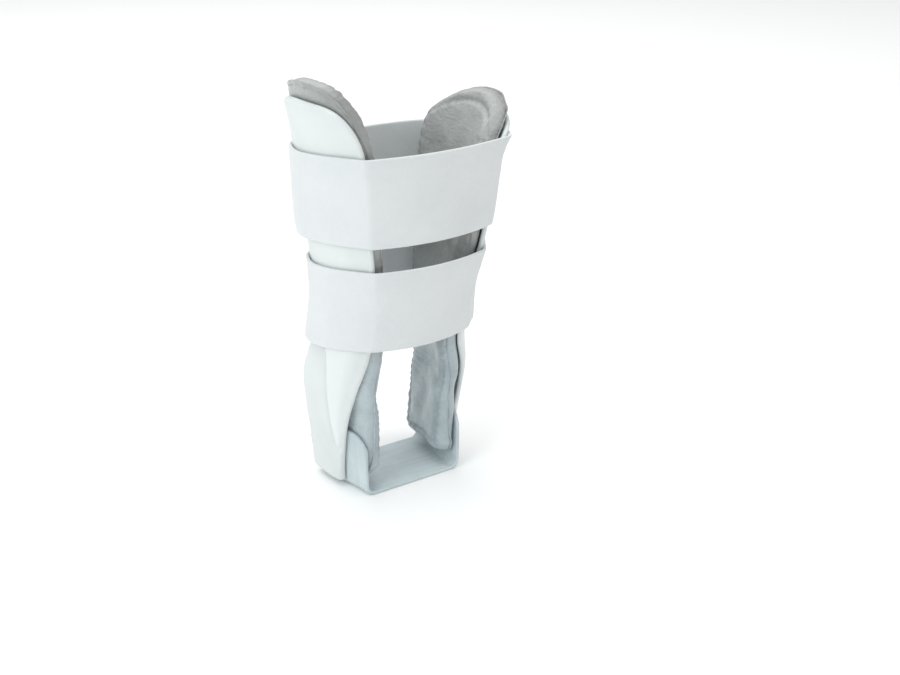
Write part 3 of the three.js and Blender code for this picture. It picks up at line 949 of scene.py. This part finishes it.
    def puff(self, piece: Piece) -> None:
        """Swells the pad's free face with a short cloth simulation.

        The mesh is made even first. Its back is held, pressure pushes the rest out for some
        frames, and no point keeps more than the cap of its movement.
        """
        even = piece.modifiers.new("even", "REMESH")
        even.mode = "VOXEL"
        even.voxel_size = self.voxel * METRE
        settle(piece)
        piece.modifiers.new("calm", "SMOOTH").iterations = self.calm
        settle(piece)
        rest = points_of(piece)
        _, depth, _ = self.places(rest)
        held = np.flatnonzero(depth < self.back(rest[:, 2]) + self.held)
        group = piece.vertex_groups.new(name="back")
        group.add(held.tolist(), 1.0, "REPLACE")
        cloth = piece.modifiers.new("puff", "CLOTH")
        cloth.settings.quality = self.quality
        cloth.settings.mass = self.mass
        cloth.settings.use_pressure = True
        cloth.settings.uniform_pressure_force = self.pressure
        cloth.settings.effector_weights.gravity = 0.0
        cloth.settings.vertex_group_mass = group.name
        cloth.collision_settings.use_self_collision = False
        cloth.point_cache.frame_start = 1
        cloth.point_cache.frame_end = self.frames
        for number in range(1, self.frames + 1):
            bpy.context.scene.frame_set(number)
        settle(piece)
        bpy.context.scene.frame_set(1)
        moved = points_of(piece) - rest
        length = np.linalg.norm(moved, axis=1, keepdims=True)
        LOG.info("%s swelled by up to %.2f mm", piece.name, float(length.max()))
        move_points(piece, rest + moved * np.minimum(1.0, self.cap / np.maximum(length, 1e-6)))

    def weld(self, piece: Piece) -> None:
        """Presses the weld into the free face and pleats the film beside it.

        The weld is a groove, a bell across its width, at one distance in from the edge. Between
        it and the edge the film is pleated by a wandering sine along the edge, and the rest of the
        face is lightly crumpled.
        """
        points = points_of(piece)
        edge, depth, along = self.places(points)
        lateral = BRACE.unopened(points, self.side)
        y, z = lateral[:, 1], lateral[:, 2]
        normal = BRACE.on_side(BRACE.normal(BRACE.across(y, z), z), self.side)
        face = smooth_rise(*self.face, (depth - self.back(z)) / self.edge)
        groove = self.weld_depth * bell(edge, self.weld_in, self.weld_width)
        place = along
        for size, length, phase in self.wander:
            place = place + size * np.sin(along / length + phase)
        pleats = self.pleat * np.sin(2.0 * math.pi * place / self.pleat_length)
        pleats *= bell(edge, self.pleat_in, self.pleat_half)
        crumple = self.crumple * rumple(y, z, *self.crumple_length)
        crumple *= smooth_rise(self.weld_in, self.weld_in + self.crumple_rise, edge)
        move_points(piece, points + normal * ((groove + pleats + crumple) * face)[:, None])


@dataclass
class WeldedRim:
    """The welded rim of a liner's film: a thin wavy tube with an oval section round the pad's edge.

    Its stations are so many along each end and each side of the pad. The finished pad's edge is
    looked for within near and search of them, and evened out over calm stations each way. The rim
    stands out past it by out, and half and thick are its section's half sizes.
    """

    liner: Liner
    ends: int = 100
    sides: int = 300
    ring: int = 8
    corner: float = 4.5
    near: float = 2.0
    search: float = 4.0
    least: float = -1.0
    calm: int = 6
    out: float = 0.7
    half: float = 1.3
    thick: float = 0.4
    wave: float = 0.3
    uneven: float = 0.13
    wave_length: tuple[float, float] = (6.0, 20.0)

    def path(self) -> tuple[Grid, Grid, Grid, Grid]:
        """The middle of the pad's edge as drawn, with rounded corners.

        Returns:
            Points all round it, and at each the directions along, through the pad and outward.
        """
        even = np.linspace(-1.0, 1.0, self.ends)[:-1]
        rise = np.linspace(0.0, 1.0, self.sides)[:-1]
        low, high = np.zeros_like(even), np.ones_like(even)
        one = np.ones_like(rise)
        s = np.concatenate([even, one, -even, -one])
        v = np.concatenate([low, rise, high, 1.0 - rise])
        back, line, front = (self.liner.surface(s, v, np.full_like(s, x)) for x in (0.0, 0.5, 1.0))
        side = self.liner.side
        line = round_plan(BRACE.placed(line, side)[None], self.corner)[0]
        through = unit(round_plan(BRACE.on_side(front - back, side)[None], self.corner)[0])
        along = np.roll(line, -1, axis=0) - np.roll(line, 1, axis=0)
        outward = unit(np.cross(along, through))
        if ((line - line.mean(axis=0)) * outward).sum() < 0:
            outward = -outward
        return line, np.cross(through, outward), through, outward

    def reach(self, pad: Grid, line: Grid, along: Grid, through: Grid, outward: Grid) -> Grid:
        """How far the finished pad's edge lies outward of the path, evened out along it.

        Args:
            pad: The finished pad's points.
            line: The path's points.
            along: Directions along it.
            through: Directions through the pad.
            outward: Directions outward.

        Returns:
            A distance for each point of the path.
        """
        reach = np.empty(len(line))
        for station, point in enumerate(line):
            away = pad - point
            before = np.abs(away @ along[station]) < self.near
            level = np.abs(away @ through[station]) < self.near
            ahead = away[before & level] @ outward[station]
            reach[station] = ahead[np.abs(ahead) < self.search].max(initial=self.least)
        turns = range(-self.calm, self.calm + 1)
        return np.mean([np.roll(reach, turn) for turn in turns], axis=0)

    def build(self, pad: Grid) -> Piece:
        """The rim round a finished pad: the path moved out to its edge, made uneven and wavy."""
        line, along, through, outward = self.path()
        reach = self.reach(pad, line, along, through, outward)
        wave = self.wave * rumple(line[:, 1], line[:, 2], *self.wave_length)
        uneven = self.uneven * rumple(line[:, 2], line[:, 1], *self.wave_length)
        reach = reach + self.out - self.half + uneven
        centre = line + outward * reach[:, None] + through * wave[:, None]
        points = ovals(centre, outward, through, self.half, self.thick, self.ring)
        index = np.arange(len(line) * self.ring).reshape(-1, self.ring)
        index = np.concatenate([index, index[:1]])
        quads = quads_of(np.concatenate([index, index[:, :1]], axis=1))
        name = f"{self.liner.side.value}_liner_welded_rim"
        piece = object_from(name, points.reshape(-1, 3), quads)
        dress(piece, self.liner.film, "liner")
        return piece


def round_plan(loop: Grid, radius: float) -> Grid:
    """Closed curves with their corners rounded.

    Each row is resampled at even steps along its length and averaged along it with a bell of the
    radius, which rounds a corner and leaves a gentle curve almost where it was.

    Args:
        loop: Rows by points by 3, closed.
        radius: Spread of the bell, in millimetres.

    Returns:
        Rows of points at even steps.
    """
    rows, count = loop.shape[:2]
    rounded = np.empty_like(loop)
    for row in range(rows):
        closed = np.vstack([loop[row], loop[row, :1]])
        reached = distances(closed)
        even = np.linspace(0.0, reached[-1], count, endpoint=False)
        line = values_at(even, reached, closed)
        waves = np.fft.fftfreq(count, d=reached[-1] / count)
        soften = np.exp(-2.0 * (math.pi * waves * radius) ** 2)[:, None]
        rounded[row] = np.fft.ifft(np.fft.fft(line, axis=0) * soften, axis=0).real
    return rounded


def sample(grid: Grid, row: Grid, column: Grid) -> Grid:
    """A grid's values between its points, straight between neighbours."""
    low_row = np.clip(np.floor(row).astype(int), 0, grid.shape[0] - 2)
    low_column = np.clip(np.floor(column).astype(int), 0, grid.shape[1] - 2)
    a = (row - low_row)[:, None]
    b = (column - low_column)[:, None]
    lower = grid[low_row, low_column] * (1 - b) + grid[low_row, low_column + 1] * b
    upper = grid[low_row + 1, low_column] * (1 - b) + grid[low_row + 1, low_column + 1] * b
    return lower * (1 - a) + upper * a


@dataclass
class StitchRow:
    """Sewn stitches along a line: each a small rounded length of thread."""

    name: str
    thread: Material
    pitch: float = 3.0
    length: float = 2.3
    radius: float = 0.32
    rings: int = 7
    sides: int = 8
    blunt: float = 0.97

    def build(self, line: Grid, outward: Grid, slot: str) -> Piece:
        """The stitches.

        Each is a tube along the line's direction, half sunk into the cloth, whose radius follows
        sqrt(1 - t^4) over its length and is a little blunt at its ends.

        Args:
            line: Points along the seam, in order.
            outward: Unit vectors away from the cloth at those points.
            slot: A material slot name; not used.

        Returns:
            All the stitches as one object.
        """
        reached = distances(line)
        middles = np.arange(self.pitch / 2, reached[-1], self.pitch)
        centre = values_at(middles, reached, line)
        normal = values_at(middles, reached, outward)
        start = values_at(middles - self.length / 4, reached, line)
        end = values_at(middles + self.length / 4, reached, line)
        ahead = unit(end - start)
        across = np.cross(normal, ahead)
        t = np.sin(np.linspace(-math.pi / 2, math.pi / 2, self.rings) * self.blunt)
        girth = (self.radius * np.sqrt(1.0 - t**4))[:, None]
        middle = centre[:, None] + ahead[:, None] * (t * self.length / 2)[None, :, None]
        points = ovals(middle, across[:, None], normal[:, None], girth, girth, self.sides)
        ring = np.arange(self.rings * self.sides).reshape(self.rings, self.sides)
        tube = quads_of(np.concatenate([ring, ring[:, :1]], axis=1))
        fan = np.array([[0, k, k + 1, k + 2] for k in range(1, self.sides - 2, 2)])
        caps = np.concatenate([ring[0][fan[:, ::-1]], ring[-1][fan]])
        one = np.concatenate([tube, caps])
        first = np.arange(len(middles))[:, None, None] * ring.size
        quads = (one[None] + first).reshape(-1, 4)
        piece = object_from(self.name, points.reshape(-1, 3), quads)
        dress(piece, self.thread, slot)
        return piece


@dataclass
class WrapStrap:
    """A wide hook-and-loop strap round both shells, its free end lapped over its start."""

    name: str
    node: str
    foot: float
    looseness: float
    cloth: Material
    thread: Material
    width: float = STRAP_WIDTH
    thickness: float = 2.0
    front_bow: float = 7.0
    rear_bow: float = 10.0
    rear_dip: float = 6.0
    corner_reach: float = 1.0
    free_end: float = 36.0
    start_share: float = 0.6
    bend: float = 0.9
    lap_start: float = 19.0
    lap_end: float = 6.0
    end_round: float = 9.0
    seam_inset: float = 4.5
    seam_points: int = 400
    panel: Panel = field(default_factory=Panel)
    stations: int = 960
    up: int = 30
    cell: float = 1.1

    def loop(self, z: Grid, loose: Grid) -> Grid:
        """The middle of the cloth as closed curves, anticlockwise from above, one a row.

        The sides run beside the shells at half the cloth's thickness, the clearance and the
        panel's height off the wall, from the rear edges to a little past the front ones. They dip
        smoothly to the rear, and stand off by the row's looseness there. The front is a shallow
        parabola. The back is two halves of another, which leave the rear edges along the shells.

        Args:
            z: Heights in front, one a row.
            loose: How far each row stands off the rear edges.

        Returns:
            Rows by points by 3.
        """
        fine = self.stations // 4
        u = np.linspace(-1.0, 1.0, fine)[None, :]
        height = z[:, None] - self.rear_dip * (1.0 - smooth_rise(-1.0, 1.0, u))
        surface = BRACE.wall / 2 + self.panel.height_at(height)
        distance = surface + BRACE.clearance + self.thickness / 2
        distance = distance + loose[:, None] * (1.0 - smooth_rise(-1.0, 0.0, u))
        normal = BRACE.normal(u, height)
        level = np.hypot(normal[..., 0], normal[..., 1])
        flat = normal * (1.0, 1.0, 0.0)
        side = BRACE.mid_wall(u, height) + flat * (distance / level**2)[..., None]
        ahead = unit(side[:, -1] - side[:, -2])
        corner = side[:, -1] + ahead * self.corner_reach
        lateral = np.concatenate([side, corner[:, None]], axis=1)
        medial = (lateral * MIRROR)[:, ::-1]
        x = mix(corner[:, :1], -corner[:, :1], np.linspace(0.0, 1.0, fine)[None, 1:-1])
        y = corner[:, 1:2] - self.front_bow * (1.0 - (x / corner[:, :1]) ** 2)
        front = np.stack([x, y, np.broadcast_to(z[:, None], x.shape)], axis=-1)
        back = self.back(side[:, 0], side[:, 0] - side[:, 1])
        return np.concatenate([back[:, :-1], lateral, front, medial[:, :-1]], axis=1)

    def back(self, edge: Grid, away: Grid) -> Grid:
        """The back of the loop, from the medial rear edge to the lateral one.

        Each half is edge (1-t)^2 + 2 turn t (1-t) + middle t^2, where turn lies ahead of the edge
        along the shell and level with the middle.
        """
        ahead = away * (1.0, 1.0, 0.0) * (self.rear_bow / away[:, 1:2])
        turn = (edge + ahead)[:, None]
        middle = (edge * (0.0, 1.0, 1.0) + (0.0, self.rear_bow, 0.0))[:, None]
        t = np.linspace(0.0, 1.0, self.stations // 6)[None, :, None]
        lateral = mix(mix(edge[:, None], turn, t), mix(turn, middle, t), t)
        return np.concatenate([lateral * MIRROR, lateral[:, -2::-1]], axis=1)

    def build(self) -> Piece:
        """The strap.

        The plan curve is walked from its start on the medial side, once round and on by the free
        end, whose layer is lifted by a thickness and the clearance. Both faces are off the middle
        by half the thickness times a round edge. The free end's corners are rounded.
        """
        rim = self.thickness / 2
        v = graded(self.up, rim / self.width)
        z = self.foot + v * self.width
        loop = self.loop(z, self.looseness * (1.0 - v))
        plan = round_plan(loop, self.bend)
        count = plan.shape[1]
        steps = np.diff(loop[self.up // 2], axis=0, append=loop[self.up // 2, :1])
        reached = np.linalg.norm(steps, axis=1).cumsum()
        length = float(reached[-1])
        start = reached[-round(self.start_share * self.stations / 4)]
        total = length + self.free_end
        along = graded(int(total / self.cell), rim / total)[None, :] * total
        to_edge = np.minimum(v, 1.0 - v)[:, None] * self.width
        pulled = self.end_round * (1.0 - rounding(to_edge, self.end_round))
        along = along - pulled * smooth_rise(total - 3 * self.end_round, total, along)
        at = ((start + along) / length * count) % count
        low = np.floor(at).astype(int) % count
        part = (at - np.floor(at))[..., None]
        rows = np.arange(len(z))[:, None]
        line = plan[rows, low] * (1.0 - part) + plan[rows, (low + 1) % count] * part
        step = np.gradient(line, axis=1)
        level = np.zeros_like(step[..., 0])
        outward = unit(np.stack([step[..., 1], -step[..., 0], level], axis=-1))
        gap = self.thickness + BRACE.clearance
        lift = gap * smooth_rise(length - self.lap_start, length - self.lap_end, along)
        to_end = np.minimum(along, along[:, -1:] - along)
        edge = np.minimum(to_edge, to_end)
        swell = rim * rounding(edge, rim)
        outer = line + outward * (lift + swell)[..., None]
        inner = line + outward * (lift - swell)[..., None]
        outer, inner = BRACE.opened(outer), BRACE.opened(inner)
        places = np.stack(np.broadcast_arrays(along, v[:, None] * self.width), axis=-1)
        piece = slab(self.name, outer, inner, places * METRE)
        dress(piece, self.cloth, "strap", self.node)
        self.sew(outer, inner, along[self.up // 2], v)
        return piece

    def sew(self, outer: Grid, inner: Grid, along: Grid, v: Grid) -> None:
        """Sews a box of stitches inset from the free end's edges, as for a hook tape, which isn't
        made.

        Args:
            outer: The strap's outer face.
            inner: Its inner face.
            along: How far along the strap its columns lie.
            v: Its rows' shares of the width.
        """
        near, far = along[-1] - self.seam_inset, along[-1] - self.free_end + self.seam_inset
        low, high = self.seam_inset, self.width - self.seam_inset
        corners = np.array([[near, low], [far, low], [far, high], [near, high], [near, low]])
        turns = np.arange(len(corners))
        place = values_at(np.linspace(0.0, turns[-1], self.seam_points), turns, corners)
        row = np.interp(place[:, 1] / self.width, v, np.arange(len(v)))
        column = np.interp(place[:, 0], along, np.arange(len(along)))
        line = sample(outer, row, column)
        outward = unit(line - sample(inner, row, column))
        StitchRow(f"{self.node}_box_stitch", self.thread).build(line, outward, "strap")


@dataclass
class HeelStrap:
    """The woven strap that joins the shells: up inside each of them and flat between them."""

    webbing: Material
    width: float = 48.0
    thickness: float = HEEL_THICKNESS
    rise: float = HEEL_RISE
    bend: float = HEEL_BEND
    end_round: float = 15.0
    upright: int = 44
    turn: int = 16
    sole: int = 60
    across: int = 60

    def build(self) -> Piece:
        """The strap.

        Each strip along it goes down the inside of the lateral wall, through a quarter circle and
        flat to the middle, and its mirror image goes on up the other side. The ends have round
        corners.
        """
        rim = self.thickness / 2
        turn_height = rim + self.bend
        inset = BRACE.wall / 2 + BRACE.clearance + rim
        cross = graded(self.across, rim / self.width)
        y = (self.width * (cross - 0.5))[:, None]
        to_edge = (np.minimum(cross, 1.0 - cross) * self.width)[:, None]
        top = self.rise - self.end_round * (1.0 - rounding(to_edge, self.end_round))

        def on_wall(z: Grid, distance: Grid) -> Grid:
            """Points off the wall at places y."""
            return BRACE.off_wall(BRACE.across(y, z), z, distance)

        def strips(layer: Grid) -> Grid:
            """Strips off the middle of the cloth by layer times half its thickness."""
            end = graded(self.upright, rim / self.rise)
            z = mix(top, turn_height, end[None, :])
            up = on_wall(z, layer[:, :z.shape[1]] * rim - inset)
            foot = on_wall(np.full((len(y), 1), turn_height), np.full((len(y), 1), -inset))
            angle = np.linspace(0.0, math.pi / 2, self.turn + 1)[None, 1:]
            radius = self.bend + layer[:, z.shape[1]:z.shape[1] + self.turn] * rim
            x = foot[..., 0] + self.bend - radius * np.cos(angle)
            turned = np.stack([x, np.broadcast_to(foot[..., 1], x.shape),
                               turn_height - radius * np.sin(angle)], axis=-1)
            last = turned[:, -1:]
            share = np.linspace(0.0, 1.0, self.sole + 1)[None, 1:-1, None]
            flat = mix(last, last * MIRROR, share)
            lateral = np.concatenate([up, turned], axis=1)
            medial = (lateral * MIRROR)[:, ::-1]
            return np.concatenate([lateral, flat, medial], axis=1)

        columns = 2 * (self.upright + 2 * END_STEPS + 1 + self.turn) + self.sole - 1
        middle = strips(np.zeros((len(y), columns)))
        along = distances(middle[self.across // 2])
        to_end = np.minimum(along, along[-1] - along)[None, :]
        round_edge = rounding(np.minimum(to_end, to_edge), rim)
        outer = BRACE.opened(strips(round_edge))
        inner = BRACE.opened(strips(-round_edge))
        places = np.stack(np.broadcast_arrays(along[None, :], cross[:, None] * self.width), axis=-1)
        piece = slab("woven_heel_strap", outer, inner, places * METRE)
        dress(piece, self.webbing, "heel_web", "heel_strap")
        return piece


@dataclass
class Studio:
    """The floor, the soft lights and the camera at the photograph's angle."""

    azimuth: float = -36.0
    elevation: float = 22.4
    distance: float = 0.8
    target: Values = (0.0196, -0.0317, 0.0903)
    roll: float = 0.5
    lens: float = 56.2
    sensor: float = 36.0
    floor_size: float = 60.0
    floor_colour: Values = (0.93, 0.935, 0.935)
    floor_roughness: float = 0.9
    sky: float = 0.62
    aim: Values = (0.0, 0.0, 0.12)

    def build(self) -> None:
        """Makes them all."""
        self.floor()
        self.world()
        self.light("key", (-1.5, -0.35, 1.1), size=0.9, power=11.5, colour=(0.94, 1.0, 1.0))
        self.light("fill", (0.9, -1.3, 0.8), size=1.4, power=1.6)
        self.light("back", (0.3, 1.2, 1.3), size=1.2, power=4.0)
        self.light("top", (0.0, 0.3, 2.6), size=3.2, power=42.0)
        self.camera()

    def floor(self) -> None:
        """A plain pale floor: one large flat square at z = 0."""
        half = self.floor_size / 2
        corners = [(-half, -half, 0), (half, -half, 0), (half, half, 0), (-half, half, 0)]
        mesh = bpy.data.meshes.new("floor")
        mesh.from_pydata(corners, [], [(0, 1, 2, 3)])
        floor = bpy.data.objects.new("floor", mesh)
        bpy.context.scene.collection.objects.link(floor)
        material = bpy.data.materials.new("pale_floor")
        material.use_nodes = True
        shader = material.node_tree.nodes["Principled BSDF"]
        shader.inputs["Base Color"].default_value = (*self.floor_colour, 1.0)
        shader.inputs["Roughness"].default_value = self.floor_roughness
        mesh.materials.append(material)

    def world(self) -> None:
        """An even pale light from all round."""
        world = bpy.data.worlds.new("studio")
        world.use_nodes = True
        background = world.node_tree.nodes["Background"]
        background.inputs["Color"].default_value = (1.0, 1.0, 1.0, 1.0)
        background.inputs["Strength"].default_value = self.sky
        bpy.context.scene.world = world
        bpy.context.scene.view_settings.view_transform = "Standard"

    def light(self, name: str, place: tuple[float, float, float], size: float, power: float,
              colour: tuple[float, float, float] = (1.0, 1.0, 1.0)) -> None:
        """A square soft light that faces the middle of the brace."""
        data = bpy.data.lights.new(name, "AREA")
        data.color = colour
        data.size = size
        data.energy = power
        lamp = bpy.data.objects.new(name, data)
        lamp.location = place
        towards = Vector(self.aim) - Vector(place)
        lamp.rotation_euler = towards.to_track_quat("-Z", "Y").to_euler()
        bpy.context.scene.collection.objects.link(lamp)

    def camera(self) -> None:
        """The camera: back from its target by the distance, and level but for a small roll."""
        a, e, r = (math.radians(x) for x in (self.azimuth, self.elevation, self.roll))
        back = Vector((math.sin(a) * math.cos(e), -math.cos(a) * math.cos(e), math.sin(e)))
        right = Vector((math.cos(a), math.sin(a), 0.0))
        up = back.cross(right)
        turned_right = right * math.cos(r) + up * math.sin(r)
        turned_up = up * math.cos(r) - right * math.sin(r)
        data = bpy.data.cameras.new("camera")
        data.lens = self.lens
        data.sensor_width = self.sensor
        camera = bpy.data.objects.new("camera", data)
        basis = Matrix((turned_right, turned_up, back)).transposed().to_4x4()
        camera.matrix_world = Matrix.Translation(Vector(self.target) + back * self.distance) @ basis
        bpy.context.scene.collection.objects.link(camera)
        bpy.context.scene.camera = camera


def main() -> None:
    """Builds the brace piece by piece, dresses it and sets the scene."""
    logging.basicConfig(level=logging.INFO, format="%(name)s %(message)s")
    plastic = ShellPlastic().build()
    film = LinerFilm().build()
    cloth = LoopCloth().build()
    webbing = HeelWebbing().build()
    Studio().build()
    for side in Side:
        Shell(side, plastic).build()
        Liner(side, film).build()
    thread = Thread().build()
    upper = BRACE.top - STRAP_DROP - STRAP_WIDTH
    lower = upper - STRAP_SPACING - STRAP_WIDTH
    WrapStrap("upper_wrap_strap", "upper_strap", upper, UPPER_LOOSENESS, cloth, thread).build()
    WrapStrap("lower_wrap_strap", "lower_strap", lower, 0.0, cloth, thread).build()
    HeelStrap(webbing).build()


if __name__ == "__main__":
    main()
